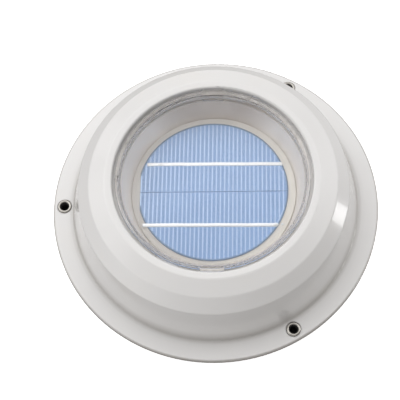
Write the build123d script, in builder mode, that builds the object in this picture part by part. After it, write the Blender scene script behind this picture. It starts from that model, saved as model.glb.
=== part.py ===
from build123d import *
import os
from math import cos, radians, sin

# Solar-powered round roof ventilator. All lengths in millimetres.
# Origin: on the fan axis, in the roof plane. +Z up, out of the roof. +X between two of the three roof screws.

# Cover
flange_r = 108.2
slot_height = 5.0
flange_thickness = 3.6
flange_rise = 1.0
foot_r = 94.4
foot_round = 1.6
shoulder_r, shoulder_z = 87.7, 40.6
crown_r, crown_z = 79.9, 49.3
lip_r, lip_z = 69.2, 53.6
wall = 2.6
post_r, post_hole_r = 4.0, 1.5
post_height, post_hole_depth = 4.2, 4.0

# Roof screws
screw_circle_r = 100.8
screw_hole_r = 2.95
screw_angles = (60, 180, 300)
sleeve_r = 4.0
sleeve_head_r = 4.6
sleeve_head_height = 1.8
sleeve_rounding = 0.7
sleeve_seat_z = 8.0
sleeve_seat_r = 5.1
sleeve_foot_z = 2.0
sleeve_boss_r, sleeve_boss_height = 5.0, 3.5
ear_half_width, ear_length = 5.4, 24.0
foot_pad_r = 4.6

# Lens and its bayonet
opening_r = 64.2
ledge_r = 61.4
ledge_z = 48.9
ledge_thickness = 2.9
lens_gap = 0.3
lens_rim_r = 62.4
lens_top_z = 52.9
tab_angles = ((90, 7.1), (270, 7.1), (64, 2.4))
tab_height = 2.6
window_z = 52.2
window_thickness = 2.0
seal_thickness = 0.8
rim_width = 2.5
rim_slope = 0.7
skirt_thickness = 1.8
skirt_end_z = 43.7
lug_root = 0.6
lug_reach = 1.8
lug_height = 2.0
lug_half_angle = 6.5
notch_half_angle = 7.4
lens_turn = 27
groove_r = 63.2
rim_notch_length, rim_notch_width, rim_notch_depth = 4.4, 4.0, 1.2

# Cell well and solar cell
well_flange_r = 77.0
well_top_z = ledge_z - ledge_thickness
well_flange_thickness = 2.5
well_floor_z = 28.0
well_floor_r = 55.2
well_wall = 2.4
floor_thickness = 2.2
board_thickness = 2.0
board_gap = 0.3
cell_r = 50.5
cell_x, cell_y = -0.6, 0.2
cell_flat_x = -49.2
cell_thickness = 0.6
split_y = -0.8
split_gap = 0.3
ribbon_middle_y = -2.4
ribbon_spacing = 43.6
ribbon_width = 1.9
ribbon_thickness = 0.3
upper_ribbon_x = (-45.4, 46.1)
lower_ribbon_x = (-46.9, 42.3)
red_joint_x, black_joint_x = -42.0, 40.0
joint_reach, joint_width, joint_height = 2.2, 1.4, 0.6
lead_r, lead_hole_r = 0.75, 1.1
lead_z = 23.6
well_screw_circle_r = 72.5
well_screw_count = 4
well_screw_start = 45
well_screw_hole_r = 1.7
well_screw_head_r, well_screw_r, well_screw_length = 2.8, 1.45, 6.0

# Motor
motor_r = 12.2
motor_front_z = 9.7
motor_back_z = 21.0
motor_sheet = 0.6
end_cap_height, end_cap_web = 1.0, 0.5
spigot_depth = 1.0
terminal_x = 5.0
terminal_size = (0.5, 2.4, 3.0)
bearing_r = 3.2
bearing_length = 2.1
shaft_r = 1.0
shaft_end_play = 0.3
running_gap = 0.03
magnet_inner_r, magnet_half_angle = 9.3, 65
magnet_low_z, magnet_length = 11.0, 7.5
core_r = 8.6
core_low_z, core_high_z = 11.6, 17.8
core_slot_r, core_slot_size = 6.6, (5.0, 1.6)
core_slot_count, core_slot_start = 3, 60
commutator_r, commutator_length = 2.6, 1.8
cup_thickness = 2.0
cup_gap = 0.05
cup_bore_r = 3.6
cup_top_z = 20.0
cup_ear_thickness = 2.5
cup_ear_middle_r, cup_ear_length = 16.0, 6.0
cup_screw_circle_r = 19.0
cup_screw_angle = 70
cup_screw_count = 3
cup_screw_hole_r = 1.4
ear_start_gap = 0.5
cup_screw_head_r, cup_screw_r, cup_screw_length = 2.2, 1.2, 6.8
boss_r, boss_hole_r, boss_hole_depth = 3.5, 1.25, 5.0

# Fan
hub_r = 9.0
hub_low_z, hub_high_z = -6.5, 4.5
fan_r = 52.5
blade_count = 7
blade_centre_z = -1.5
blade_root_chord, blade_root_pitch = 15.0, 38
blade_tip_chord, blade_tip_pitch = 34.0, 18
blade_thickness = 1.6
blade_root_depth, blade_tip_spare = 2, 8
collet_r, collet_length, collet_inset = 2.6, 8.0, 0.5

# Duct, insect screen, shut-off damper and ceiling trim
duct_r = 54.0
duct_wall = 2.5
coaming_z = 12.0
duct_end_z = -26.8
plate_r = 80.0
plate_thickness = 4.0
gasket_inner_r, gasket_outer_r = 62.0, 76.0
gasket_thickness = 2.4
gasket_gap = 0.1
screen_gap = 0.1
screen_top_z = -13.0
screen_height = 5.0
screen_lip, screen_wall = 4.0, 2.0
mesh_z = -15.0
mesh_thickness = 0.5
mesh_hole = 5.2
mesh_pitch = 6.2
mesh_clear_r = 46.5
grille_thickness = 2.0
grille_overhang = 0.4
window_inner_r, window_outer_r = 14.0, 50.0
window_count = 6
window_angle, window_overlap = 30, 1
damper_thickness = 1.5
damper_gap = 0.3
damper_edge_gap = 0.8
spindle_r = 4.0
spindle_gap = 0.05
spindle_end = 1.2
knob_r = 11.0
knob_gap = 0.2
knob_plate = 1.5
grip_depth, grip_width = 2.6, 5.0
clip_r, clip_thickness = 7.0, 0.6
clip_tooth_count, clip_gap_r = 6, 1.0
trim_r = 76.0
trim_bottom_z = -34.0
trim_flange_thickness = 3.2
trim_chamfer, trim_edge_height = 3.0, 0.8
collar_gap, collar_wall = 0.6, 2.0
collar_top_z = -12.0


def section(corners):
    """Closed section face in the XZ plane through (radius, height, corner rounding) points."""
    with BuildSketch(Plane.XZ) as face:
        with BuildLine():
            FilletPolyline(
                *[(r, z) for r, z, _ in corners],
                radius=[rounding for *_, rounding in corners],
                close=True,
            )
        make_face()
    return face.sketch


def sector(inner_r, outer_r, half_angle, middle_angle, height):
    """Face between two radii and two directions, at the given height."""
    spread = [middle_angle - half_angle, middle_angle, middle_angle + half_angle]
    inner = [(inner_r * cos(radians(a)), inner_r * sin(radians(a))) for a in spread]
    outer = [(outer_r * cos(radians(a)), outer_r * sin(radians(a))) for a in spread]
    with BuildSketch(Plane.XY.offset(height)) as face:
        with BuildLine():
            ThreePointArc(*inner)
            Line(inner[2], outer[2])
            ThreePointArc(*outer)
            Line(outer[0], inner[0])
        make_face()
    return face.sketch


def finish(piece, label):
    """Name a finished sub-part and write its file."""
    piece.part.label = label
    export_step(piece.part, f"parts/{label}.step")


os.makedirs("parts", exist_ok=True)

flange_top_z = slot_height + flange_thickness
seat_ring_r = lip_r - 0.4
skirt_r = ledge_r - lens_gap

# ---------------------------------------------------------------- cover
with BuildPart() as outer_shell:
    revolve(
        section(
            [
                (flange_r, slot_height, 0.5),
                (flange_r, flange_top_z, 1.0),
                (foot_r, flange_top_z + flange_rise, foot_round),
                (shoulder_r, shoulder_z, 2.0),
                (crown_r, crown_z, 2.5),
                (lip_r, lip_z, 3.0),
                (opening_r, lip_z, 1.4),
                (opening_r, ledge_z, 0),
                (ledge_r, ledge_z, 0),
                (ledge_r, well_top_z, 0),
                (seat_ring_r, well_top_z, 0),
                (seat_ring_r, lip_z - 1.1 * wall, 0),
                (crown_r - 0.4 * wall, crown_z - wall, 1.0),
                (shoulder_r - wall, shoulder_z - 0.4 * wall, 1.0),
                (foot_r - wall, slot_height, foot_round + wall),
            ]
        ),
        Axis.Z,
    )
    # Posts that take the well's screws
    with BuildSketch(Plane.XY.offset(well_top_z)):
        with PolarLocations(well_screw_circle_r, well_screw_count, start_angle=well_screw_start):
            Circle(post_r)
    extrude(amount=post_height)
    with BuildSketch(Plane.XY.offset(well_top_z)):
        with PolarLocations(well_screw_circle_r, well_screw_count, start_angle=well_screw_start):
            Circle(post_hole_r)
    extrude(amount=post_hole_depth, mode=Mode.SUBTRACT)
    # Boss under the flange, seat and hole of each screw sleeve
    with BuildSketch(Plane.XY.offset(plate_thickness)):
        with PolarLocations(screw_circle_r, len(screw_angles), start_angle=screw_angles[0]):
            Circle(sleeve_boss_r)
    extrude(amount=sleeve_boss_height)
    with BuildSketch(Plane.XY.offset(sleeve_seat_z)):
        with PolarLocations(screw_circle_r, len(screw_angles), start_angle=screw_angles[0]):
            Circle(sleeve_seat_r)
    extrude(amount=sleeve_seat_z, mode=Mode.SUBTRACT)
    with BuildSketch(Plane.XY.offset(plate_thickness)):
        with PolarLocations(screw_circle_r, len(screw_angles), start_angle=screw_angles[0]):
            Circle(sleeve_r)
    extrude(amount=sleeve_seat_z, mode=Mode.SUBTRACT)
    # Entry notches of the lens bayonet
    for side in (90, 270):
        notch = sector(skirt_r, groove_r, notch_half_angle, side - lens_turn, well_top_z)
        extrude(notch, amount=ledge_thickness, mode=Mode.SUBTRACT)
finish(outer_shell, "outer_shell")

# ---------------------------------------------------------------- screw sleeves
sleeve_top_z = sleeve_seat_z + sleeve_head_height
with BuildPart() as one_sleeve:
    revolve(
        section(
            [
                (screw_hole_r, sleeve_foot_z, 0),
                (sleeve_r, sleeve_foot_z, 0),
                (sleeve_r, sleeve_seat_z, 0),
                (sleeve_head_r, sleeve_seat_z, 0.3),
                (sleeve_head_r, sleeve_top_z, sleeve_rounding),
                (screw_hole_r, sleeve_top_z, sleeve_rounding),
            ]
        ),
        Axis.Z,
    )
with BuildPart() as screw_sleeves:
    with PolarLocations(screw_circle_r, len(screw_angles), start_angle=screw_angles[0]):
        add(one_sleeve.part)
finish(screw_sleeves, "screw_sleeves")

# ---------------------------------------------------------------- lens
rim_bottom_z = ledge_z + seal_thickness
rim_inner_r = lens_rim_r - rim_width
with BuildPart() as lens_cap:
    revolve(
        section(
            [
                (0, window_z, 0),
                (rim_inner_r, window_z, 0.3),
                (rim_inner_r + rim_slope, lens_top_z, 0.3),
                (lens_rim_r, lens_top_z, 0.9),
                (lens_rim_r, rim_bottom_z, 0.2),
                (skirt_r, rim_bottom_z, 0),
                (skirt_r, skirt_end_z, 0.3),
                (skirt_r - skirt_thickness, skirt_end_z, 0.3),
                (skirt_r - skirt_thickness, window_z - window_thickness, 0.8),
                (0, window_z - window_thickness, 0),
            ]
        ),
        Axis.Z,
    )
    for side in (90, 270):
        lug = sector(skirt_r - lug_root, skirt_r + lug_reach, lug_half_angle, side, skirt_end_z)
        extrude(lug, amount=lug_height)
    # Tabs that centre the rim in the opening
    for middle, half_angle in tab_angles:
        tab = sector(skirt_r, opening_r - lens_gap, half_angle, middle, rim_bottom_z)
        extrude(tab, amount=tab_height)
    # Finger notch in the rim
    with BuildSketch(Plane.XY.offset(lens_top_z - rim_notch_depth)):
        with Locations((-lens_rim_r, 0)):
            Rectangle(rim_notch_length, rim_notch_width)
    extrude(amount=2 * rim_notch_depth, mode=Mode.SUBTRACT)
finish(lens_cap, "lens_cap")

with BuildPart() as lens_seal:
    with BuildSketch(Plane.XY.offset(ledge_z)):
        Circle(lens_rim_r)
        Circle(skirt_r, mode=Mode.SUBTRACT)
    extrude(amount=seal_thickness)
finish(lens_seal, "lens_seal")

# ---------------------------------------------------------------- cell well
floor_bottom_z = well_floor_z - floor_thickness
board_top_z = well_floor_z + board_thickness
groove_z = skirt_end_z - lens_gap
upper_ribbon_y = ribbon_middle_y + ribbon_spacing / 2
lower_ribbon_y = ribbon_middle_y - ribbon_spacing / 2
red_start = (red_joint_x, upper_ribbon_y)
black_start = (black_joint_x, lower_ribbon_y)

with BuildPart() as cell_well:
    revolve(
        section(
            [
                (well_flange_r, well_top_z, 0.5),
                (well_flange_r, well_top_z - well_flange_thickness, 0.5),
                (groove_r + 1.0, well_top_z - well_flange_thickness, 0.6),
                (well_floor_r + well_wall, floor_bottom_z, 1.5),
                (0, floor_bottom_z, 0),
                (0, well_floor_z, 0),
                (well_floor_r, well_floor_z, 0),
                (ledge_r, groove_z, 0),
                (groove_r, groove_z, 0),
                (groove_r, well_top_z, 0),
            ]
        ),
        Axis.Z,
    )
    with BuildSketch(Plane.XY.offset(cup_top_z)):
        with PolarLocations(cup_screw_circle_r, cup_screw_count, start_angle=cup_screw_angle):
            Circle(boss_r)
    extrude(amount=well_floor_z - floor_thickness / 2 - cup_top_z)
    with BuildSketch(Plane.XY.offset(cup_top_z)):
        with PolarLocations(cup_screw_circle_r, cup_screw_count, start_angle=cup_screw_angle):
            Circle(boss_hole_r)
    extrude(amount=boss_hole_depth, mode=Mode.SUBTRACT)
    with BuildSketch(Plane.XY.offset(floor_bottom_z)):
        with Locations(red_start, black_start):
            Circle(lead_hole_r)
    extrude(amount=floor_thickness, mode=Mode.SUBTRACT)
    with BuildSketch(Plane.XY.offset(well_top_z - well_flange_thickness)):
        with PolarLocations(well_screw_circle_r, well_screw_count, start_angle=well_screw_start):
            Circle(well_screw_hole_r)
    extrude(amount=well_flange_thickness, mode=Mode.SUBTRACT)
finish(cell_well, "cell_well")


def pan_screw(head_r, shank_r, shank_length):
    """Cross-head pan screw on its own axis, head below z = 0 and shank above it."""
    head_height = 0.75 * head_r
    recess_length, recess_width = 1.2 * head_r, 0.6
    with BuildPart() as screw:
        revolve(
            section(
                [
                    (0, -head_height, 0),
                    (head_r, -head_height, 0.6 * head_height),
                    (head_r, 0, 0),
                    (shank_r, 0, 0),
                    (shank_r, shank_length, 0.4),
                    (0, shank_length, 0),
                ]
            ),
            Axis.Z,
        )
        with BuildSketch(Plane.XY.offset(-head_height)):
            Rectangle(recess_length, recess_width)
            Rectangle(recess_width, recess_length)
        extrude(amount=0.5 * head_height, mode=Mode.SUBTRACT)
    return screw.part


well_screw = pan_screw(well_screw_head_r, well_screw_r, well_screw_length)
with BuildPart(Plane.XY.offset(well_top_z - well_flange_thickness)) as well_screws:
    with PolarLocations(well_screw_circle_r, well_screw_count, start_angle=well_screw_start):
        add(well_screw)
finish(well_screws, "well_screws")

# ---------------------------------------------------------------- solar cell
with BuildPart() as cell_board:
    with BuildSketch(Plane.XY.offset(well_floor_z)):
        Circle(well_floor_r - board_gap)
        with Locations(red_start, black_start):
            Circle(lead_hole_r, mode=Mode.SUBTRACT)
    extrude(amount=board_thickness)
finish(cell_board, "cell_board")

for label, side in (("cell_half_upper", 1), ("cell_half_lower", -1)):
    with BuildPart() as cell_half:
        with BuildSketch(Plane.XY.offset(board_top_z)):
            with Locations((cell_x, cell_y)):
                Circle(cell_r)
            with Locations((cell_flat_x, split_y + side * split_gap / 2)):
                Rectangle(
                    2 * cell_r,
                    2 * cell_r,
                    align=(Align.MIN, Align.MIN if side > 0 else Align.MAX),
                    mode=Mode.INTERSECT,
                )
        extrude(amount=cell_thickness)
    finish(cell_half, label)

cell_top_z = board_top_z + cell_thickness
for label, (start_x, end_x), joint in (
    ("ribbon_upper", upper_ribbon_x, red_start),
    ("ribbon_lower", lower_ribbon_x, black_start),
):
    with BuildPart() as ribbon:
        with BuildSketch(Plane.XY.offset(cell_top_z)):
            with Locations(((start_x + end_x) / 2, joint[1])):
                Rectangle(end_x - start_x, ribbon_width)
        extrude(amount=ribbon_thickness)
        # Solder joint over the lead
        with BuildSketch(Plane.XY.offset(cell_top_z)):
            with Locations(joint):
                Ellipse(joint_reach, joint_width)
        extrude(amount=joint_height)
    finish(ribbon, label)

# ---------------------------------------------------------------- motor
with BuildPart() as motor_cup:
    revolve(
        section(
            [
                (cup_bore_r, motor_front_z - cup_thickness, 0),
                (motor_r + cup_thickness, motor_front_z - cup_thickness, 1.5),
                (motor_r + cup_thickness, cup_top_z, 0),
                (motor_r + cup_gap, cup_top_z, 0),
                (motor_r + cup_gap, motor_front_z, 0),
                (cup_bore_r, motor_front_z, 0),
            ]
        ),
        Axis.Z,
    )
    with BuildSketch(Plane.XY.offset(cup_top_z)):
        with PolarLocations(cup_screw_circle_r, cup_screw_count, start_angle=cup_screw_angle):
            Circle(boss_r)
        with PolarLocations(cup_ear_middle_r, cup_screw_count, start_angle=cup_screw_angle):
            Rectangle(cup_ear_length, 2 * boss_r)
        Circle(motor_r + ear_start_gap, mode=Mode.SUBTRACT)
        with PolarLocations(cup_screw_circle_r, cup_screw_count, start_angle=cup_screw_angle):
            Circle(cup_screw_hole_r, mode=Mode.SUBTRACT)
    extrude(amount=-cup_ear_thickness)
finish(motor_cup, "motor_cup")

cup_screw = pan_screw(cup_screw_head_r, cup_screw_r, cup_screw_length)
with BuildPart(Plane.XY.offset(cup_top_z - cup_ear_thickness)) as cup_screws:
    with PolarLocations(cup_screw_circle_r, cup_screw_count, start_angle=cup_screw_angle):
        add(cup_screw)
finish(cup_screws, "cup_screws")

with BuildPart() as motor_can:
    revolve(
        section(
            [
                (bearing_r, motor_front_z, 0),
                (motor_r, motor_front_z, 0.8),
                (motor_r, motor_back_z, 0),
                (motor_r - motor_sheet, motor_back_z, 0),
                (motor_r - motor_sheet, motor_front_z + motor_sheet, 0),
                (bearing_r, motor_front_z + motor_sheet, 0),
            ]
        ),
        Axis.Z,
    )
finish(motor_can, "motor_can")

end_cap_top_z = motor_back_z + end_cap_height
web_bottom_z = end_cap_top_z - end_cap_web
with BuildPart() as motor_end_cap:
    revolve(
        section(
            [
                (0, end_cap_top_z, 0),
                (motor_r, end_cap_top_z, 0.4),
                (motor_r, motor_back_z, 0),
                (motor_r - motor_sheet, motor_back_z, 0),
                (motor_r - motor_sheet, motor_back_z - spigot_depth, 0),
                (shaft_r + running_gap, motor_back_z - spigot_depth, 0),
                (shaft_r + running_gap, web_bottom_z, 0),
                (0, web_bottom_z, 0),
            ]
        ),
        Axis.Z,
    )
    with BuildSketch(Plane.XY.offset(end_cap_top_z)):
        with Locations((-terminal_x, 0), (terminal_x, 0)):
            Rectangle(*terminal_size[:2])
    extrude(amount=-end_cap_web, mode=Mode.SUBTRACT)
finish(motor_end_cap, "motor_end_cap")

with BuildPart(Plane.XY.offset(web_bottom_z)) as motor_terminals:
    with Locations((-terminal_x, 0), (terminal_x, 0)):
        Box(*terminal_size, align=(Align.CENTER, Align.CENTER, Align.MIN))
finish(motor_terminals, "motor_terminals")

with BuildPart() as motor_magnets:
    for side in (0, 180):
        arc = sector(
            magnet_inner_r, motor_r - motor_sheet, magnet_half_angle, side, magnet_low_z
        )
        extrude(arc, amount=magnet_length)
finish(motor_magnets, "motor_magnets")

with BuildPart() as motor_bearing:
    with BuildSketch(Plane.XY.offset(motor_front_z + motor_sheet)):
        Circle(bearing_r)
        Circle(shaft_r + running_gap, mode=Mode.SUBTRACT)
    extrude(amount=-bearing_length)
finish(motor_bearing, "motor_bearing")

with BuildPart() as armature:
    with BuildSketch(Plane.XY.offset(core_low_z)):
        Circle(core_r)
        with PolarLocations(core_slot_r, core_slot_count, start_angle=core_slot_start):
            Rectangle(*core_slot_size, mode=Mode.SUBTRACT)
        Circle(shaft_r, mode=Mode.SUBTRACT)
    extrude(amount=core_high_z - core_low_z)
finish(armature, "armature")

with BuildPart() as commutator:
    with BuildSketch(Plane.XY.offset(core_high_z)):
        Circle(commutator_r)
        Circle(shaft_r, mode=Mode.SUBTRACT)
    extrude(amount=commutator_length)
finish(commutator, "commutator")

with BuildPart() as motor_shaft:
    with BuildSketch(Plane.XY.offset(hub_low_z)):
        Circle(shaft_r)
    extrude(amount=motor_back_z + shaft_end_play - hub_low_z)
finish(motor_shaft, "motor_shaft")

# ---------------------------------------------------------------- leads
terminal_face_x = terminal_x + terminal_size[0] / 2
lead_routes = {
    "lead_red": [
        (*red_start, board_top_z),
        (*red_start, lead_z),
        (-29.5, 9.2, lead_z),
        (-15.5, 0, lead_z),
        (-terminal_face_x, 0, lead_z),
    ],
    "lead_black": [
        (*black_start, board_top_z),
        (*black_start, lead_z),
        (28.5, -11.5, lead_z),
        (15.5, 0, lead_z),
        (terminal_face_x, 0, lead_z),
    ],
}
for label, route in lead_routes.items():
    points = [Vector(*p) for p in route]
    radii = []
    for before, here, after in zip(points, points[1:], points[2:]):
        turn = (here - before).get_angle(after - here)
        shorter_run = min((here - before).length, (after - here).length)
        half_turn = radians(turn / 2)
        radii.append(0.45 * shorter_run * cos(half_turn) / sin(half_turn))
    with BuildPart() as lead:
        with BuildLine() as lead_path:
            FilletPolyline(*points, radius=radii)
        with BuildSketch(Plane(origin=points[0], z_dir=(0, 0, -1))):
            Circle(lead_r)
        sweep()
    length = sum(edge.length for edge in lead_path.edges())
    print(label, "length", round(length, 1), "radii", [round(r, 1) for r in radii])
    finish(lead, label)

# ---------------------------------------------------------------- fan
with BuildPart() as fan_collet:
    with BuildSketch(Plane.XY.offset(hub_low_z + collet_inset)):
        Circle(collet_r)
        Circle(shaft_r, mode=Mode.SUBTRACT)
    extrude(amount=collet_length)
finish(fan_collet, "fan_collet")


def blade_plane(radius, pitch):
    """Plane across a blade: its x runs along the pitched chord and its normal points outwards."""
    chord_direction = (0, cos(radians(pitch)), sin(radians(pitch)))
    return Plane(origin=(radius, 0, blade_centre_z), x_dir=chord_direction, z_dir=(1, 0, 0))


with BuildPart() as one_blade:
    with BuildSketch(blade_plane(hub_r - blade_root_depth, blade_root_pitch)):
        SlotOverall(blade_root_chord, blade_thickness)
    with BuildSketch(blade_plane(fan_r + blade_tip_spare, blade_tip_pitch)):
        SlotOverall(blade_tip_chord, blade_thickness)
    loft()
    with BuildSketch(Plane.XY.offset(-fan_r / 2)):
        Circle(fan_r)
    extrude(amount=fan_r, mode=Mode.INTERSECT)

with BuildPart() as fan_rotor:
    revolve(
        section(
            [
                (0, hub_low_z, 0),
                (hub_r, hub_low_z, 2.5),
                (hub_r, hub_high_z, 0.8),
                (0, hub_high_z, 0),
            ]
        ),
        Axis.Z,
    )
    with PolarLocations(0, blade_count):
        add(one_blade.part)
    with BuildSketch(Plane.XY.offset(hub_low_z)):
        Circle(shaft_r)
    extrude(amount=hub_high_z - hub_low_z, mode=Mode.SUBTRACT)
    with BuildSketch(Plane.XY.offset(hub_low_z + collet_inset)):
        Circle(collet_r)
    extrude(amount=collet_length, mode=Mode.SUBTRACT)
finish(fan_rotor, "fan_rotor")

# ---------------------------------------------------------------- base ring
with BuildPart() as base_ring:
    revolve(
        section(
            [
                (duct_r, duct_end_z, 0.5),
                (duct_r + duct_wall, duct_end_z, 0.5),
                (duct_r + duct_wall, 0, 0),
                (plate_r, 0, 0),
                (plate_r, plate_thickness, 1.0),
                (duct_r + duct_wall, plate_thickness, 2.0),
                (duct_r + duct_wall, coaming_z, 0.8),
                (duct_r, coaming_z, 0.8),
            ]
        ),
        Axis.Z,
    )
    with BuildSketch(Plane.XY.offset(sleeve_foot_z)):
        with PolarLocations(screw_circle_r, len(screw_angles), start_angle=screw_angles[0]):
            Circle(ear_half_width)
        with PolarLocations(
            screw_circle_r - ear_length / 2, len(screw_angles), start_angle=screw_angles[0]
        ):
            Rectangle(ear_length, 2 * ear_half_width)
    extrude(amount=plate_thickness - sleeve_foot_z)
    with BuildSketch():
        with PolarLocations(screw_circle_r, len(screw_angles), start_angle=screw_angles[0]):
            Circle(foot_pad_r)
    extrude(amount=sleeve_foot_z)
    with BuildSketch():
        with PolarLocations(screw_circle_r, len(screw_angles), start_angle=screw_angles[0]):
            Circle(screw_hole_r)
    extrude(amount=plate_thickness, mode=Mode.SUBTRACT)
    with BuildSketch(Plane.XY.offset(sleeve_foot_z)):
        with PolarLocations(screw_circle_r, len(screw_angles), start_angle=screw_angles[0]):
            Circle(sleeve_r)
    extrude(amount=plate_thickness - sleeve_foot_z, mode=Mode.SUBTRACT)
    with BuildSketch():
        Circle(gasket_outer_r)
        Circle(gasket_inner_r, mode=Mode.SUBTRACT)
    extrude(amount=gasket_thickness, mode=Mode.SUBTRACT)
finish(base_ring, "base_ring")

with BuildPart() as roof_gasket:
    with BuildSketch():
        Circle(gasket_outer_r - gasket_gap)
        Circle(gasket_inner_r + gasket_gap, mode=Mode.SUBTRACT)
    extrude(amount=gasket_thickness)
finish(roof_gasket, "roof_gasket")

# ---------------------------------------------------------------- insect screen
screen_r = duct_r - screen_gap
with BuildPart() as screen_ring:
    revolve(
        section(
            [
                (screen_r, screen_top_z, 0.3),
                (screen_r, screen_top_z - screen_height, 0.3),
                (screen_r - screen_lip, screen_top_z - screen_height, 0.5),
                (screen_r - screen_lip, mesh_z, 0),
                (screen_r - screen_wall, mesh_z, 0),
                (screen_r - screen_wall, screen_top_z, 0.3),
            ]
        ),
        Axis.Z,
    )
finish(screen_ring, "screen_ring")

with BuildPart() as insect_mesh:
    with BuildSketch(Plane.XY.offset(mesh_z)):
        Circle(screen_r - screen_wall - screen_gap)
        reach = int(mesh_clear_r / mesh_pitch) + 1
        steps = range(-reach, reach + 1)
        centres = [(i * mesh_pitch, j * mesh_pitch) for i in steps for j in steps]
        with Locations(*[c for c in centres if Vector(*c).length < mesh_clear_r]):
            Rectangle(mesh_hole, mesh_hole, mode=Mode.SUBTRACT)
    extrude(amount=mesh_thickness)
finish(insect_mesh, "insect_mesh")

# ---------------------------------------------------------------- shut-off damper
window_pitch = 360 / window_count
grille_top_z = duct_end_z
grille_bottom_z = grille_top_z - grille_thickness
damper_low_z = grille_top_z + damper_gap
damper_high_z = damper_low_z + damper_thickness

with BuildPart() as damper_grille:
    with BuildSketch(Plane.XY.offset(grille_bottom_z)):
        Circle(duct_r + duct_wall + grille_overhang)
        Circle(spindle_r + spindle_gap, mode=Mode.SUBTRACT)
    extrude(amount=grille_thickness)
    for window in range(window_count):
        opening = sector(
            window_inner_r, window_outer_r, window_angle / 2, window * window_pitch, grille_bottom_z
        )
        extrude(opening, amount=grille_thickness, mode=Mode.SUBTRACT)
finish(damper_grille, "damper_grille")

with BuildPart() as damper_disc:
    with BuildSketch(Plane.XY.offset(damper_low_z)):
        Circle(duct_r - damper_edge_gap)
        Circle(spindle_r, mode=Mode.SUBTRACT)
    extrude(amount=damper_thickness)
    for window in range(window_count):
        opening = sector(
            window_inner_r,
            window_outer_r,
            window_angle / 2 - window_overlap,
            window * window_pitch,
            damper_low_z,
        )
        extrude(opening, amount=damper_thickness, mode=Mode.SUBTRACT)
finish(damper_disc, "damper_disc")

knob_top_z = grille_bottom_z - knob_gap
with BuildPart() as damper_knob:
    with BuildSketch(Plane.XY.offset(knob_top_z)):
        Circle(spindle_r)
    extrude(amount=damper_high_z + spindle_end - knob_top_z)
    with BuildSketch(Plane.XY.offset(knob_top_z - knob_plate)):
        Circle(knob_r)
    extrude(amount=knob_plate)
    with BuildSketch(Plane.XY.offset(knob_top_z - knob_plate - grip_depth)):
        SlotOverall(1.8 * knob_r, grip_width)
    extrude(amount=grip_depth)
finish(damper_knob, "damper_knob")

with BuildPart() as damper_clip:
    with BuildSketch(Plane.XY.offset(damper_high_z)):
        Circle(clip_r)
        Circle(spindle_r, mode=Mode.SUBTRACT)
        with PolarLocations(clip_r, clip_tooth_count):
            Circle(clip_gap_r, mode=Mode.SUBTRACT)
    extrude(amount=clip_thickness)
finish(damper_clip, "damper_clip")

# ---------------------------------------------------------------- ceiling trim
collar_r = duct_r + duct_wall + collar_gap
trim_top_z = trim_bottom_z + trim_flange_thickness
with BuildPart() as trim_ring:
    revolve(
        section(
            [
                (duct_r, trim_bottom_z, 1.0),
                (trim_r - trim_chamfer, trim_bottom_z, 2.0),
                (trim_r, trim_top_z - trim_edge_height, 0.3),
                (trim_r, trim_top_z, 0),
                (collar_r + collar_wall, trim_top_z, 0),
                (collar_r + collar_wall, collar_top_z, 0.6),
                (collar_r, collar_top_z, 0.6),
                (collar_r, grille_bottom_z, 0),
                (duct_r, grille_bottom_z, 0),
            ]
        ),
        Axis.Z,
    )
finish(trim_ring, "trim_ring")
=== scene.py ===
import math

import bmesh
import bpy
from mathutils import Matrix, Quaternion, Vector


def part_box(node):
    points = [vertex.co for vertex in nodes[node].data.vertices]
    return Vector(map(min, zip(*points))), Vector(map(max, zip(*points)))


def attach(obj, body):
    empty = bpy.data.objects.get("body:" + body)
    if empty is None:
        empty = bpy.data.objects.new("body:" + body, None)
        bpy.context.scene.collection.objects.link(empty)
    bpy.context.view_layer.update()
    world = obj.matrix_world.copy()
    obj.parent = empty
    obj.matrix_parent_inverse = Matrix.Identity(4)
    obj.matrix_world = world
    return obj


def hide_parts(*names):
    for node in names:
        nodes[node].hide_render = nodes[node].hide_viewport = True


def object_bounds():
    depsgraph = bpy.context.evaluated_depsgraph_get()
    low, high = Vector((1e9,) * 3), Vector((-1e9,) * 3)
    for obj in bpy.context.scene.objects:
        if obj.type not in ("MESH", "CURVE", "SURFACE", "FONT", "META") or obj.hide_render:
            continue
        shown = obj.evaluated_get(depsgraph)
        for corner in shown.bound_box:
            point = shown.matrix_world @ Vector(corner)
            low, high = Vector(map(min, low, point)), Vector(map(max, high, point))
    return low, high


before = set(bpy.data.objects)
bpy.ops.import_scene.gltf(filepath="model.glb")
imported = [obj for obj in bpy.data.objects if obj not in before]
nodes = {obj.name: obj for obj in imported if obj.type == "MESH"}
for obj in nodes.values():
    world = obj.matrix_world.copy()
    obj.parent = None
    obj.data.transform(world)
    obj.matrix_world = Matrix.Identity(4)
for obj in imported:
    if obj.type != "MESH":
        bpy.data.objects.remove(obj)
cad_lo, cad_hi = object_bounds()
MM = 0.001
SEGMENTS = 256
scene = bpy.context.scene

# ---------------------------------------------------------------- camera
LENS_MM, SENSOR_MM = 116.05, 36.0
DISTANCE, ELEVATION, AZIMUTH, ROLL = 0.8714, 66.06, 6.68, -6.84
TARGET = Vector((-0.01046, 0.00757, 0.0))


def direction(azimuth, elevation):
    """Unit vector from the object; azimuth 0 is -Y, 90 is +X."""
    a, e = math.radians(azimuth), math.radians(elevation)
    return Vector((math.sin(a) * math.cos(e), -math.cos(a) * math.cos(e), math.sin(e)))


camera_data = bpy.data.cameras.new("camera")
camera_data.sensor_width = SENSOR_MM
camera_data.lens = LENS_MM
camera_data.clip_start = 0.01
camera = bpy.data.objects.new("camera", camera_data)
scene.collection.objects.link(camera)
back = direction(AZIMUTH, ELEVATION)
camera.location = TARGET + back * DISTANCE
camera.rotation_mode = "QUATERNION"
camera.rotation_quaternion = back.to_track_quat("Z", "Y") @ Quaternion((0, 0, 1), math.radians(ROLL))
scene.camera = camera
scene.view_settings.view_transform = "Standard"


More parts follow.
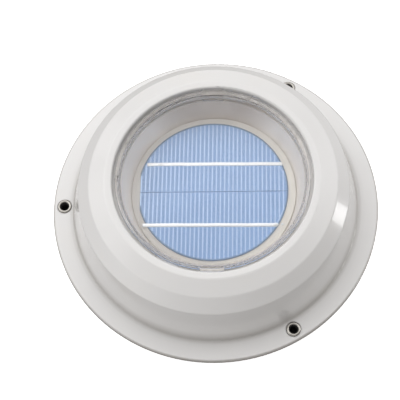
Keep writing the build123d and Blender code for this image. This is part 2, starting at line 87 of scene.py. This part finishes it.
# ---------------------------------------------------------------- materials
class Shader:
    """A material with one Principled shader, and helpers that add nodes to it."""

    def __init__(self, name, **sockets):
        self.material = bpy.data.materials.new(name)
        self.material.use_nodes = True
        self.tree = self.material.node_tree
        self.bsdf = self.tree.nodes["Principled BSDF"]
        self.coords = self.tree.nodes.new("ShaderNodeTexCoord")
        for key, value in sockets.items():
            self.bsdf.inputs[key.replace("_", " ")].default_value = value

    def node(self, kind, **settings):
        """Adds a node; a setting is one of its properties or of its sockets."""
        made = self.tree.nodes.new("ShaderNode" + kind)
        for key, value in settings.items():
            if hasattr(made, key):
                setattr(made, key, value)
            else:
                made.inputs[key.replace("_", " ")].default_value = value
        return made

    def link(self, source, target):
        self.tree.links.new(source, target)

    def placed(self, stretch=(1, 1, 1)):
        """Object coordinates, stretched."""
        mapping = self.node("Mapping")
        mapping.inputs["Scale"].default_value = stretch
        self.link(self.coords.outputs["Object"], mapping.inputs["Vector"])
        return mapping.outputs["Vector"]

    def noise(self, scale, detail=3.0, roughness=0.5, stretch=(1, 1, 1)):
        """Noise over the piece's own coordinates."""
        made = self.node("TexNoise", Scale=scale, Detail=detail, Roughness=roughness)
        self.link(self.placed(stretch), made.inputs["Vector"])
        return made.outputs["Fac"]

    def ramp(self, value, stops):
        """Colour ramp over (position, colour) stops."""
        made = self.node("ValToRGB")
        elements = made.color_ramp.elements
        while len(elements) < len(stops):
            elements.new(0.5)
        for element, (position, colour) in zip(elements, stops):
            element.position = position
            element.color = (*colour, 1)
        self.link(value, made.inputs["Fac"])
        return made.outputs["Color"]

    def range(self, value, low, high, from_low=0.3, from_high=0.7):
        """Maps a value from one range to another, held at the ends."""
        made = self.node("MapRange")
        for key, number in (
            ("From Min", from_low),
            ("From Max", from_high),
            ("To Min", low),
            ("To Max", high),
        ):
            made.inputs[key].default_value = number
        self.link(value, made.inputs["Value"])
        return made.outputs["Result"]

    def radius(self, x=0.0, y=0.0):
        """Distance in metres from an upright axis through (x, y)."""
        mapping = self.node("Mapping")
        mapping.inputs["Location"].default_value = (-x, -y, 0)
        mapping.inputs["Scale"].default_value = (1, 1, 0)
        self.link(self.coords.outputs["Object"], mapping.inputs["Vector"])
        length = self.node("VectorMath", operation="LENGTH")
        self.link(mapping.outputs["Vector"], length.inputs[0])
        return length.outputs["Value"]

    def darken_by_radius(self, distance, stops):
        """Darkens the base colour over (radius in mm, factor) stops of a distance in metres."""
        low, high = stops[0][0], stops[-1][0]
        place = self.range(distance, 0.0, 1.0, low * MM, high * MM)
        tone = self.ramp(place, [((r - low) / (high - low), (f, f**1.05, f**1.12)) for r, f in stops])
        mixed = self.node("Mix", data_type="RGBA", blend_type="MULTIPLY")
        mixed.inputs["Factor"].default_value = 1.0
        first_colour, second_colour, result_colour = mixed.inputs[6], mixed.inputs[7], mixed.outputs[2]
        self.link(self.bsdf.inputs["Base Color"].links[0].from_socket, first_colour)
        self.link(tone, second_colour)
        self.colour(result_colour)

    def colour(self, source):
        self.link(source, self.bsdf.inputs["Base Color"])

    def roughness(self, source):
        self.link(source, self.bsdf.inputs["Roughness"])

    def bump(self, source, distance, strength=1.0, before=None):
        """Bump of the given depth in metres, on top of an earlier one."""
        made = self.node("Bump", Strength=strength, Distance=distance)
        self.link(source, made.inputs["Height"])
        if before is not None:
            self.link(before, made.inputs["Normal"])
        self.link(made.outputs["Normal"], self.bsdf.inputs["Normal"])
        return made.outputs["Normal"]


def shade(colour, factor):
    """The colour made darker or lighter."""
    return tuple(min(1.0, c * factor) for c in colour)


def moulded(name, colour, gloss=0.3, tint=0.03, grain=1400, depth=0.00001, darken_by_radius=(), **sockets):
    """Injection-moulded plastic: faint cloudy tint, painted shade by radius, fine skin texture and slow
    waves.
    """
    s = Shader(name, **sockets)
    cloud = s.noise(22, 4, 0.6)
    warm = (colour[0] * (1 + tint * 0.4), colour[1], colour[2] * (1 - tint))
    s.colour(s.ramp(cloud, [(0.3, shade(colour, 1 - tint)), (0.55, colour), (0.75, warm)]))
    s.roughness(s.range(s.noise(160, 5, 0.6), gloss * 0.94, gloss * 1.08))
    skin = s.bump(s.noise(grain, 2, 0.5), depth, 0.35)
    s.bump(s.noise(28, 0, 0.4), depth * 4, 0.12, skin)
    if darken_by_radius:
        s.darken_by_radius(s.radius(), darken_by_radius)
    return s.material


def metal(name, colour, gloss=0.25, brushed=(1, 1, 1), depth=0.000006, scale=600, tarnish=0.12):
    """Bare metal with fine scratches along one direction and a little tarnish."""
    s = Shader(name, Metallic=1.0)
    s.colour(s.ramp(s.noise(60, 5, 0.65), [(0.3, shade(colour, 1 - tarnish)), (0.6, colour)]))
    scratches = s.noise(scale, 6, 0.7, brushed)
    s.roughness(s.range(scratches, gloss * 0.6, gloss * 1.5))
    s.bump(scratches, depth, 0.5)
    return s.material


def rubber(name, colour, gloss=0.6):
    """Matt rubber, mottled and finely pitted."""
    s = Shader(name, Specular_IOR_Level=0.3)
    s.colour(s.ramp(s.noise(90, 5, 0.7), [(0.3, shade(colour, 0.75)), (0.7, shade(colour, 1.3))]))
    s.roughness(s.range(s.noise(500, 3), gloss * 0.85, gloss * 1.15))
    s.bump(s.noise(2200, 3), 0.00004, 0.6)
    return s.material


WHITE = (0.87, 0.864, 0.862)
# Painted shade in the lens gap, in the crease at the dome's foot and on the flange's edge:
# (radius in mm, factor)
COVER_PAINTED_SHADE = (
    (64.3, 0.85),
    (64.9, 1.0),
    (88, 1.0),
    (92.5, 0.93),
    (94.4, 0.64),
    (95.4, 0.8),
    (97.5, 0.97),
    (100, 1.0),
    (106.8, 1.0),
    (107.8, 0.6),
    (108.2, 0.5),
)
looks = {
    # The cover's colour is darkened by radius: painted shade in the lens gap, the crease and at the
    # flange's edge
    "cover_white": moulded(
        "cover_white", WHITE, 0.22, 0.015, darken_by_radius=COVER_PAINTED_SHADE, Coat_Weight=0.5, Coat_Roughness=0.06
    ),
    "inner_white": moulded("inner_white", (0.72, 0.72, 0.70), 0.38, 0.04),
    "base_white": moulded("base_white", (0.76, 0.76, 0.745), 0.34, 0.03),
    "fan_white": moulded("fan_white", (0.74, 0.75, 0.75), 0.33, 0.04),
    "trim_white": moulded("trim_white", (0.78, 0.775, 0.76), 0.3, 0.03, Coat_Weight=0.15),
    "knob_grey": moulded("knob_grey", (0.28, 0.29, 0.30), 0.4, 0.06, 900, 0.00003),
    "motor_black": moulded("motor_black", (0.02, 0.02, 0.022), 0.45, 0.1, 1500, 0.00003),
    "nickel": metal("nickel", (0.52, 0.50, 0.465), 0.2, tarnish=0.25),
    "steel_screws": metal("steel_screws", (0.62, 0.61, 0.60), 0.28),
    "motor_steel": metal("motor_steel", (0.60, 0.61, 0.62), 0.3, (1, 1, 8)),
    "shaft_steel": metal("shaft_steel", (0.66, 0.66, 0.67), 0.16, (1, 1, 10)),
    "mesh_steel": metal("mesh_steel", (0.50, 0.51, 0.52), 0.35),
    "brass": metal("brass", (0.78, 0.60, 0.30), 0.26),
    "copper_core": metal("copper_core", (0.72, 0.40, 0.26), 0.35),
    "magnet_iron": metal("magnet_iron", (0.12, 0.12, 0.13), 0.5),
    "tinned_ribbon": metal("tinned_ribbon", (0.93, 0.965, 1.0), 0.42, (6, 1, 1), tarnish=0.05),
    "seal_rubber": rubber("seal_rubber", (0.90, 0.89, 0.875), 0.45),
    "gasket_rubber": rubber("gasket_rubber", (0.035, 0.035, 0.035), 0.75),
    "lead_red": rubber("lead_red", (0.42, 0.02, 0.015), 0.45),
    "lead_black": rubber("lead_black", (0.02, 0.02, 0.02), 0.45),
}


def tint_along_axis(name, axis, low, high, start_tint, old, gloss):
    """Plastic whose tint turns from one colour to another between two places (m) along an axis."""
    s = Shader(name)
    place = s.node("SeparateXYZ")
    s.link(s.coords.outputs["Object"], place.inputs["Vector"])
    s.colour(s.ramp(s.range(place.outputs[axis], 0.0, 1.0, low, high), [(0.0, start_tint), (1.0, old)]))
    s.roughness(s.range(s.noise(200, 4), gloss * 0.8, gloss * 1.2))
    s.bump(s.noise(900, 3), 0.00002, 0.4)
    return s.material


# The well's wall turns darker and browner to +Y: painted shade. The board turns lighter and creamier to +X
looks["well_white"] = tint_along_axis("well_white", "Y", 0.042, 0.056, (0.97, 0.93, 0.895), (0.62, 0.55, 0.495), 0.4)
looks["board_white"] = tint_along_axis("board_white", "X", -0.01, 0.055, (0.81, 0.785, 0.75), (0.98, 0.96, 0.89), 0.55)

# Solar cell: blue nitride over silicon, with slow patches, a fine crystal sparkle and a dark edge
CELL_R, CELL_X, CELL_Y = 50.5 * MM, -0.6 * MM, 0.2 * MM
cell = Shader("solar_blue", Specular_IOR_Level=0.4, Coat_Weight=0.2, Coat_Roughness=0.08)
patches = cell.noise(38, 3, 0.55)
cell.colour(
    cell.ramp(
        patches,
        [(0.25, (0.255, 0.45, 0.83)), (0.5, (0.28, 0.485, 0.865)), (0.75, (0.305, 0.52, 0.90))],
    )
)
cell.darken_by_radius(cell.radius(CELL_X, CELL_Y), ((48.6, 1.0), (49.6, 0.8), (50.2, 0.45), (50.6, 0.4)))
cell.roughness(cell.range(cell.noise(300, 4), 0.28, 0.42))
cell.bump(cell.noise(2500, 2), 0.00001, 0.5)
looks["solar_blue"] = cell.material

fingers = Shader("finger_silver", Metallic=0.5)
fingers.colour(fingers.ramp(fingers.noise(400, 3), [(0.3, (0.45, 0.63, 0.96)), (0.7, (0.52, 0.70, 0.99))]))
fingers.roughness(fingers.range(fingers.noise(900, 3), 0.3, 0.45))
fingers_look = fingers.material

# Clear acrylic with faint flow marks, polished over the window and satin round the rim and skirt
clear = Shader("clear_lens", IOR=1.49, Transmission_Weight=1.0)
rim = clear.range(clear.radius(), 0.0, 1.0, 58.4 * MM, 59.2 * MM)
clear.colour(clear.ramp(rim, [(0.0, (0.995, 0.985, 0.975)), (1.0, (0.98, 0.955, 0.935))]))
clear.roughness(clear.range(rim, 0.005, 0.26, 0.0, 1.0))
clear.bump(clear.noise(12, 0), 0.000004, 0.1)
looks["clear_lens"] = clear.material

for name, node in nodes.items():
    for slot in node.material_slots:
        slot.material = looks[slot.material.name.split(".")[0]]


# ---------------------------------------------------------------- mesh helpers
SHARP_ANGLE = math.radians(32)


def rounded(corners, steps=5):
    """Closed (r, z) section in mm through (r, z, rounding) corners, with arcs at the corners."""
    points = []
    count = len(corners)
    for i, (r, z, rounding) in enumerate(corners):
        here = Vector((r, z))
        before = Vector(corners[i - 1][:2]) - here
        after = Vector(corners[(i + 1) % count][:2]) - here
        angle = before.angle(after)
        if rounding <= 0:
            points.append((r, z))
            continue
        reach = min(rounding / math.tan(angle / 2), 0.49 * before.length, 0.49 * after.length)
        rounding = reach * math.tan(angle / 2)
        centre = here + (before.normalized() + after.normalized()).normalized() * (
            rounding / math.sin(angle / 2)
        )
        start = here + before.normalized() * reach - centre
        end = here + after.normalized() * reach - centre
        turn = start.angle_signed(end)
        for k in range(steps + 1):
            spoke = start.copy()
            spoke.rotate(Matrix.Rotation(-turn * k / steps, 2))
            points.append(tuple(centre + spoke))
    return points


def finish_mesh(name, mesh, body, look, replaced=()):
    """Links a mesh as a piece with its material, smooth shading and body."""
    built = bmesh.new()
    built.from_mesh(mesh)
    bmesh.ops.remove_doubles(built, verts=built.verts, dist=1e-7)
    bmesh.ops.recalc_face_normals(built, faces=built.faces)
    built.to_mesh(mesh)
    built.free()
    mesh.materials.append(look)
    mesh.shade_smooth()
    mesh.set_sharp_from_angle(angle=SHARP_ANGLE)
    piece = bpy.data.objects.new(name, mesh)
    scene.collection.objects.link(piece)
    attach(piece, body)
    if replaced:
        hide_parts(*replaced)
    return piece


def lathe_mesh(name, section, segments=SEGMENTS, shape=None):
    """Mesh of a closed (r, z) section in mm turned round Z; shape(r, z, degrees) can move its points."""
    verts, faces, rings = [], [], []
    for r, z in section:
        if r < 1e-6:
            rings.append([len(verts)])
            verts.append((0, 0, z * MM))
            continue
        rings.append(list(range(len(verts), len(verts) + segments)))
        for k in range(segments):
            a = 2 * math.pi * k / segments
            far, high = shape(r, z, math.degrees(a)) if shape else (r, z)
            verts.append((far * MM * math.cos(a), far * MM * math.sin(a), high * MM))
    for one, two in zip(rings, rings[1:] + rings[:1]):
        if len(one) == 1 and len(two) == 1:
            continue
        for k in range(segments):
            nxt = (k + 1) % segments
            if len(one) == 1:
                faces.append((one[0], two[k], two[nxt]))
            elif len(two) == 1:
                faces.append((one[k], one[nxt], two[0]))
            else:
                faces.append((one[k], one[nxt], two[nxt], two[k]))
    mesh = bpy.data.meshes.new(name)
    mesh.from_pydata(verts, [], faces)
    return mesh


# ---------------------------------------------------------------- lens
LENS_SEGMENTS = 720
RIM_R, TAB_R, SKIRT_R, LUG_R = 62.4, 63.9, 61.1, 62.9
LENS_TOP, WINDOW_TOP, RIM_BOTTOM, SKIRT_END, LUG_TOP = 52.9, 52.2, 49.7, 43.7, 45.7
# The window's edge slopes up to the raised rim, and the skirt is thinner at its end
WINDOW_R, WINDOW_BOTTOM, RIM_INNER_R = RIM_R - 2.5, WINDOW_TOP - 2.0, RIM_R - 1.8
SKIRT_INNER_R, SKIRT_END_INNER_R = SKIRT_R - 1.3, SKIRT_R - 1.1
# Tabs and lugs: (middle, half width) in degrees; beyond its root radius a point of the section moves
TABS = ((90, 7.1), (270, 7.1), (64, 2.4))
LUGS = ((90, 6.5), (270, 6.5))
NOTCH_ANGLE, NOTCH_HALF_WIDTH, NOTCH_DEPTH = 180, 2.0, 1.2
TAB_ROOT_R, LUG_ROOT_R, NOTCH_ROOT_R = RIM_R - 0.7, SKIRT_R - 0.4, RIM_R - 2.3
SLACK = 0.01
LENS = rounded(
    [
        (0, WINDOW_TOP, 0),
        (WINDOW_R, WINDOW_TOP, 0.3),
        (RIM_INNER_R, LENS_TOP, 0.3),
        (RIM_R, LENS_TOP, 0.6),
        (RIM_R, RIM_BOTTOM, 0.2),
        (SKIRT_R, RIM_BOTTOM, 0.1),
        (SKIRT_R, LUG_TOP + 0.2, 0),
        (SKIRT_R, LUG_TOP, 0),
        (SKIRT_R, SKIRT_END, 0.3),
        (SKIRT_END_INNER_R, SKIRT_END, 0.3),
        (SKIRT_INNER_R, WINDOW_BOTTOM, 1.2),
        (0, WINDOW_BOTTOM, 0),
    ],
    4,
)


def inside(angle, spans, shoulder=0.5):
    """How far an angle in degrees lies inside the nearest span, 0 outside to 1 inside."""
    off = min(abs((angle - middle + 180) % 360 - 180) - half for middle, half in spans)
    return min(1.0, max(0.0, -off / shoulder))


def lens_shape(r, z, angle):
    """Moves the turned lens section out at the tabs and lugs, and down in the finger notch."""
    if z > RIM_BOTTOM - SLACK and r > TAB_ROOT_R:
        r += (TAB_R - RIM_R) * inside(angle, TABS)
    if z <= LUG_TOP + SLACK and r > LUG_ROOT_R:
        r += (LUG_R - SKIRT_R) * inside(angle, LUGS)
    if r > NOTCH_ROOT_R:
        notch = inside(angle, ((NOTCH_ANGLE, math.degrees(NOTCH_HALF_WIDTH / RIM_R)),))
        z = z + notch * (min(z, LENS_TOP - NOTCH_DEPTH) - z)
    return r, z


lens_mesh = lathe_mesh("clear_dome", LENS, LENS_SEGMENTS, lens_shape)
lens = finish_mesh("clear_dome", lens_mesh, "lens", looks["clear_lens"], ["lens_cap"])
lens.visible_shadow = False
seal_lo, seal_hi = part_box("lens_seal")
SEAL_OUTER, SEAL_WIDTH, SEAL_CLEAR = seal_hi.y / MM, 1.2, 0.06
seal_low, seal_high = seal_lo.z / MM + SEAL_CLEAR, seal_hi.z / MM - SEAL_CLEAR
SEAL = rounded(
    [
        (SEAL_OUTER - SEAL_WIDTH, seal_low, 0.2),
        (SEAL_OUTER - SEAL_CLEAR, seal_low, 0.2),
        (SEAL_OUTER - SEAL_CLEAR, seal_high, 0.2),
        (SEAL_OUTER - SEAL_WIDTH, seal_high, 0.2),
    ],
    3,
)
seal_mesh = lathe_mesh("silicone_ring", SEAL)
finish_mesh("silicone_ring", seal_mesh, "lens", looks["seal_rubber"], ["lens_seal"])

# ---------------------------------------------------------------- dark plugs in the screw sleeves, painted shade inside the holes
SCREW_CIRCLE, SCREW_ANGLES = 100.8, (60, 180, 300)
# A dark lining of the sleeve's hole with a funnel of a floor and a pinhole in it: painted shade inside the
# hole
HOLE_R, LINING, PINHOLE_R = 2.9, 0.35, 0.12
SHADE_PLUG_BOTTOM, FUNNEL_LOW, FUNNEL_HIGH, SHADE_PLUG_TOP = 0.6, 1.1, 1.4, 8.9
SHADE_PLUG_SEGMENTS = 48
SHADE_PLUG = rounded(
    [
        (HOLE_R, SHADE_PLUG_BOTTOM, 0.2),
        (HOLE_R, SHADE_PLUG_TOP, 0.3),
        (HOLE_R - LINING, SHADE_PLUG_TOP, 0.15),
        (HOLE_R - LINING, FUNNEL_HIGH, 0.2),
        (PINHOLE_R, FUNNEL_LOW, 0.1),
        (PINHOLE_R, SHADE_PLUG_BOTTOM, 0.1),
    ],
    3,
)
for number, angle in enumerate(SCREW_ANGLES, 1):
    mesh = lathe_mesh(f"hole_shade_plug_{number}", SHADE_PLUG, SHADE_PLUG_SEGMENTS)
    turn = math.radians(angle)
    place = Vector((SCREW_CIRCLE * math.cos(turn), SCREW_CIRCLE * math.sin(turn), 0))
    mesh.transform(Matrix.Translation(place * MM))
    finish_mesh(f"hole_shade_plug_{number}", mesh, "housing", looks["gasket_rubber"])

# ---------------------------------------------------------------- solar cell grid
CELL_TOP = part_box("cell_half_lower")[1].z
FINGER_PITCH, FINGER_WIDTH, FINGER_HEIGHT = 2.80 * MM, 0.85 * MM, 0.03 * MM
# Where finger 0 stands, how deep a finger's foot is sunk, and how short half a line of them can be
FINGER_X, FINGER_SUNK, FINGER_SHORTEST = 1.75 * MM, 0.005 * MM, 3 * MM
FINGERS_EACH_SIDE = 18
GRID_TURN = Matrix.Rotation(math.radians(-0.6), 4, "Z")
# The fingers end short of the cell's edge and of the line between its halves
EDGE_MARGIN, SPLIT_Y, SPLIT_MARGIN = 1.2 * MM, -0.8 * MM, 0.7 * MM


def slab(built, corners, low, high):
    """Adds a thin prism over a flat polygon given by its (x, y) corners."""
    bottom = [built.verts.new((x, y, low)) for x, y in corners]
    top = [built.verts.new((x, y, high)) for x, y in corners]
    built.faces.new(top)
    built.faces.new(list(reversed(bottom)))
    for i in range(len(corners)):
        j = (i + 1) % len(corners)
        built.faces.new((bottom[i], bottom[j], top[j], top[i]))


built = bmesh.new()
for i in range(-FINGERS_EACH_SIDE, FINGERS_EACH_SIDE):
    x = FINGER_X + i * FINGER_PITCH
    left, right = x - FINGER_WIDTH / 2, x + FINGER_WIDTH / 2
    reach = math.sqrt(max(0.0, (CELL_R - EDGE_MARGIN) ** 2 - (x - CELL_X) ** 2))
    if reach < FINGER_SHORTEST:
        continue
    for low, high in ((SPLIT_Y + SPLIT_MARGIN, CELL_Y + reach), (CELL_Y - reach, SPLIT_Y - SPLIT_MARGIN)):
        outline = [(left, low), (right, low), (right, high), (left, high)]
        slab(built, outline, CELL_TOP - FINGER_SUNK, CELL_TOP + FINGER_HEIGHT)
bmesh.ops.transform(built, matrix=GRID_TURN, verts=built.verts)
finger_mesh = bpy.data.meshes.new("cell_fingers")
built.to_mesh(finger_mesh)
built.free()
finish_mesh("cell_fingers", finger_mesh, "housing", fingers_look)

# A strip's section as (side, rise) shares of its width and height, and about how long its steps are in mm
STRIP_OUTLINE = ((-0.5, 0), (-0.5, 0.6), (-0.36, 1), (0.36, 1), (0.5, 0.6), (0.5, 0))
STRIP_STEP = 1.5


def strip_mesh(name, route, width, height, low, waviness=0.0):
    """Flat strip with rounded shoulders, waving a little sideways: sizes in mm, but low in metres."""
    points = []
    for (x0, y0), (x1, y1) in zip(route, route[1:]):
        count = max(2, int(math.hypot(x1 - x0, y1 - y0) / STRIP_STEP))
        points += [(x0 + (x1 - x0) * k / count, y0 + (y1 - y0) * k / count) for k in range(count)]
    points.append(route[-1])
    verts, faces = [], []
    for i, (x, y) in enumerate(points):
        before, after = points[max(0, i - 1)], points[min(len(points) - 1, i + 1)]
        along = Vector((after[0] - before[0], after[1] - before[1])).normalized()
        across = Vector((-along.y, along.x))
        wave = waviness * (math.sin(0.21 * x + 0.7) + 0.6 * math.sin(0.47 * x))
        for side, rise in STRIP_OUTLINE:
            spot = Vector((x, y)) + across * (side * width + wave)
            verts.append((spot.x * MM, spot.y * MM, low + rise * height * MM))
    n = len(STRIP_OUTLINE)
    for i in range(len(points) - 1):
        for k in range(n):
            a, b = i * n + k, i * n + (k + 1) % n
            faces.append((a, b, b + n, a + n))
    faces.append(tuple(range(n)))
    faces.append(tuple(range(len(verts) - 1, len(verts) - 1 - n, -1)))
    mesh = bpy.data.meshes.new(name)
    mesh.from_pydata(verts, [], faces)
    return mesh


def drop_mesh(name, x, y, z, long, wide, high):
    """Low drop of solder: the upper half of an ellipsoid, in mm, but z in metres."""
    rings, around = 5, 24
    verts, faces = [], []
    for i in range(rings):
        a = 0.5 * math.pi * i / rings
        for k in range(around):
            b = 2 * math.pi * k / around
            r = math.cos(a)
            verts.append(
                (
                    (x + long * r * math.cos(b)) * MM,
                    (y + wide * r * math.sin(b)) * MM,
                    z + high * math.sin(a) * MM,
                )
            )
    top = len(verts)
    verts.append((x * MM, y * MM, z + high * MM))
    for i in range(rings - 1):
        for k in range(around):
            nxt = (k + 1) % around
            a = i * around
            faces.append((a + k, a + nxt, a + around + nxt, a + around + k))
    last = (rings - 1) * around
    faces += [(last + k, last + (k + 1) % around, top) for k in range(around)]
    faces.append(tuple(range(around - 1, -1, -1)))
    mesh = bpy.data.meshes.new(name)
    mesh.from_pydata(verts, [], faces)
    return mesh


# Ribbons: wavy tinned copper with a drop of solder on each
RIBBON_WIDTH, RIBBON_HEIGHT, RIBBON_WAVE, RIBBON_INSET = 2.5, 0.32, 0.06, 0.2
DROP_SIZE = (2.0, 1.25, 0.58)
# (replaced node, shift to +Y, place of the drop along X, its shift to +Y)
RIBBONS = (("ribbon_upper", 0.3, -36.0, 0.5), ("ribbon_lower", -0.8, 41.0, 0.0))
for name, shift, drop_x, drop_side in RIBBONS:
    low_corner, high_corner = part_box(name)
    middle_y = (low_corner.y + high_corner.y) / 2 / MM + shift
    start_x, end_x = low_corner.x / MM + RIBBON_INSET, high_corner.x / MM - RIBBON_INSET
    ends = [(start_x, middle_y), (end_x, middle_y)]
    ribbon = strip_mesh("wavy_" + name, ends, RIBBON_WIDTH, RIBBON_HEIGHT, CELL_TOP, RIBBON_WAVE)
    ribbon.transform(GRID_TURN)
    finish_mesh("wavy_" + name, ribbon, "housing", looks["tinned_ribbon"], [name])
    drop = drop_mesh("solder_" + name, drop_x, middle_y + drop_side, CELL_TOP, *DROP_SIZE)
    finish_mesh("solder_" + name, drop, "housing", looks["tinned_ribbon"])

# The cell's border line, and a spot of solder on the board beside it
BORDER, BORDER_WIDTH, BORDER_HEIGHT = [(42.6, 20.4), (46.4, 13.5), (46.4, -14.0), (42.0, -24.4)], 0.55, 0.05
SPOT_PLACE, SPOT_SIZE = (45.4, -24.8), (0.9, 0.8, 0.5)
border = strip_mesh("cell_border", BORDER, BORDER_WIDTH, BORDER_HEIGHT, CELL_TOP)
border.transform(GRID_TURN)
finish_mesh("cell_border", border, "housing", fingers_look)
spot = drop_mesh("solder_spot", *SPOT_PLACE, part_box("cell_board")[1].z, *SPOT_SIZE)
finish_mesh("solder_spot", spot, "housing", looks["tinned_ribbon"])

# ---------------------------------------------------------------- woven insect screen
mesh_lo, mesh_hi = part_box("insect_mesh")
WIRE_PITCH, WIRE_R, WIRE_SIDES, STEPS_PER_PITCH = 2.5, 0.16, 6, 4
# How far a wire swings up and down, as a share of its radius, and the gap at the ends of the wires
WIRE_SWING, WEAVE_GAP = 0.52, 0.15
weave_r = mesh_hi.x / MM - WEAVE_GAP
weave_z = (mesh_lo.z + mesh_hi.z) / 2


def wire_mesh(name):
    """Plain-woven wire cloth cut to a circle: every wire passes over and under the ones it crosses."""
    built = bmesh.new()
    count = int(weave_r / WIRE_PITCH)
    for along_x in (True, False):
        for i in range(-count, count + 1):
            offset = i * WIRE_PITCH
            reach = math.sqrt(max(0.0, weave_r**2 - offset**2))
            if reach < WIRE_PITCH:
                continue
            steps = max(2, int(2 * reach / WIRE_PITCH * STEPS_PER_PITCH))
            previous = None
            for k in range(steps + 1):
                t = -reach + 2 * reach * k / steps
                swing = math.cos(math.pi * (t / WIRE_PITCH + i)) * (1 if along_x else -1)
                ring = []
                for s in range(WIRE_SIDES):
                    a = 2 * math.pi * s / WIRE_SIDES
                    side, up = WIRE_R * math.cos(a), WIRE_R * math.sin(a) + swing * WIRE_R * WIRE_SWING
                    x, y = (t, offset + side) if along_x else (offset + side, t)
                    ring.append(built.verts.new((x * MM, y * MM, weave_z + up * MM)))
                if previous:
                    for s in range(WIRE_SIDES):
                        n = (s + 1) % WIRE_SIDES
                        built.faces.new((previous[s], previous[n], ring[n], ring[s]))
                else:
                    built.faces.new(ring)
                previous = ring
            built.faces.new(previous)
    mesh = bpy.data.meshes.new(name)
    built.to_mesh(mesh)
    built.free()
    return mesh


screen_mesh = wire_mesh("woven_screen")
finish_mesh("woven_screen", screen_mesh, "housing", looks["mesh_steel"], ["insect_mesh"])

# ---------------------------------------------------------------- floor and light
FLOOR_HALF, FLOOR_GAP = 3.0, 0.2 * MM
FLOOR_CORNERS = ((-1, -1), (1, -1), (1, 1), (-1, 1))
floor_mesh = bpy.data.meshes.new("floor")
floor_mesh.from_pydata(
    [(x * FLOOR_HALF, y * FLOOR_HALF, cad_lo.z - FLOOR_GAP) for x, y in FLOOR_CORNERS],
    [],
    [(0, 1, 2, 3)],
)
floor_look = Shader("floor_white", Roughness=0.9, Specular_IOR_Level=0.1)
floor_cloud = floor_look.noise(6, 3)
floor_look.colour(floor_look.ramp(floor_cloud, [(0.3, (0.93, 0.93, 0.93)), (0.7, (0.95, 0.95, 0.95))]))
floor_look.bsdf.inputs["Emission Color"].default_value = (1, 1, 1, 1)
floor_look.bsdf.inputs["Emission Strength"].default_value = 0.8
floor_mesh.materials.append(floor_look.material)
floor = bpy.data.objects.new("floor", floor_mesh)
scene.collection.objects.link(floor)
floor.visible_diffuse = False
floor.visible_glossy = False

BASE_LIGHT = Vector((0.255, 0.245, 0.235))
# Soft glows in the sky: azimuth, elevation, sharpness, strength
GLOWS = (
    (185, 62, 14, 1.05),
    (240, 50, 20, 2.3),
    (120, 45, 20, 1.1),
    (150, 50, 10, 0.55),
    (180, 5, 6, 0.6),
    (120, 5, 6, 0.5),
    (0, 5, 6, 0.5),
    (305, 5, 8, 0.9),
)
world = bpy.data.worlds.new("studio")
scene.world = world
world.use_nodes = True
tree = world.node_tree


def sky_math(kind, operation, first, second):
    """Math node of the sky on a linked value and a constant or a second linked value."""
    made = tree.nodes.new(kind)
    made.operation = operation
    tree.links.new(first, made.inputs[0])
    if isinstance(second, bpy.types.NodeSocket):
        tree.links.new(second, made.inputs[1])
    else:
        made.inputs[1].default_value = second
    return made.outputs[1] if operation == "DOT_PRODUCT" else made.outputs[0]


sky_direction = tree.nodes.new("ShaderNodeTexCoord").outputs["Generated"]
glow_sum = None
for azimuth, elevation, sharpness, strength in GLOWS:
    facing = sky_math("ShaderNodeVectorMath", "DOT_PRODUCT", sky_direction, direction(azimuth, elevation))
    clipped = sky_math("ShaderNodeMath", "MAXIMUM", facing, 0.0)
    falloff = sky_math("ShaderNodeMath", "POWER", clipped, sharpness)
    scaled = sky_math("ShaderNodeMath", "MULTIPLY", falloff, strength)
    added = BASE_LIGHT if glow_sum is None else glow_sum
    glow_sum = sky_math("ShaderNodeVectorMath", "ADD", scaled, added)
tree.links.new(glow_sum, tree.nodes["Background"].inputs["Color"])

LAMP_AIM = Vector((0, 0, 0.02))


def softbox(name, azimuth, elevation, distance, size, power):
    """Rectangular lamp of (width, height) metres that faces the object."""
    data = bpy.data.lights.new(name, "AREA")
    data.shape = "RECTANGLE"
    data.size, data.size_y = size
    data.energy = power
    lamp = bpy.data.objects.new(name, data)
    lamp.location = LAMP_AIM + direction(azimuth, elevation) * distance
    lamp.rotation_mode = "QUATERNION"
    lamp.rotation_quaternion = direction(azimuth, elevation).to_track_quat("Z", "Y")
    lamp.visible_camera = False
    scene.collection.objects.link(lamp)


softbox("key_box", 206, 36, 1.6, (1.3, 0.7), 2.1)
softbox("fill_box", 290, 35, 1.5, (0.9, 0.9), 1.6)
softbox("window_box", 92.5, -2, 0.42, (0.075, 0.12), 0.16)
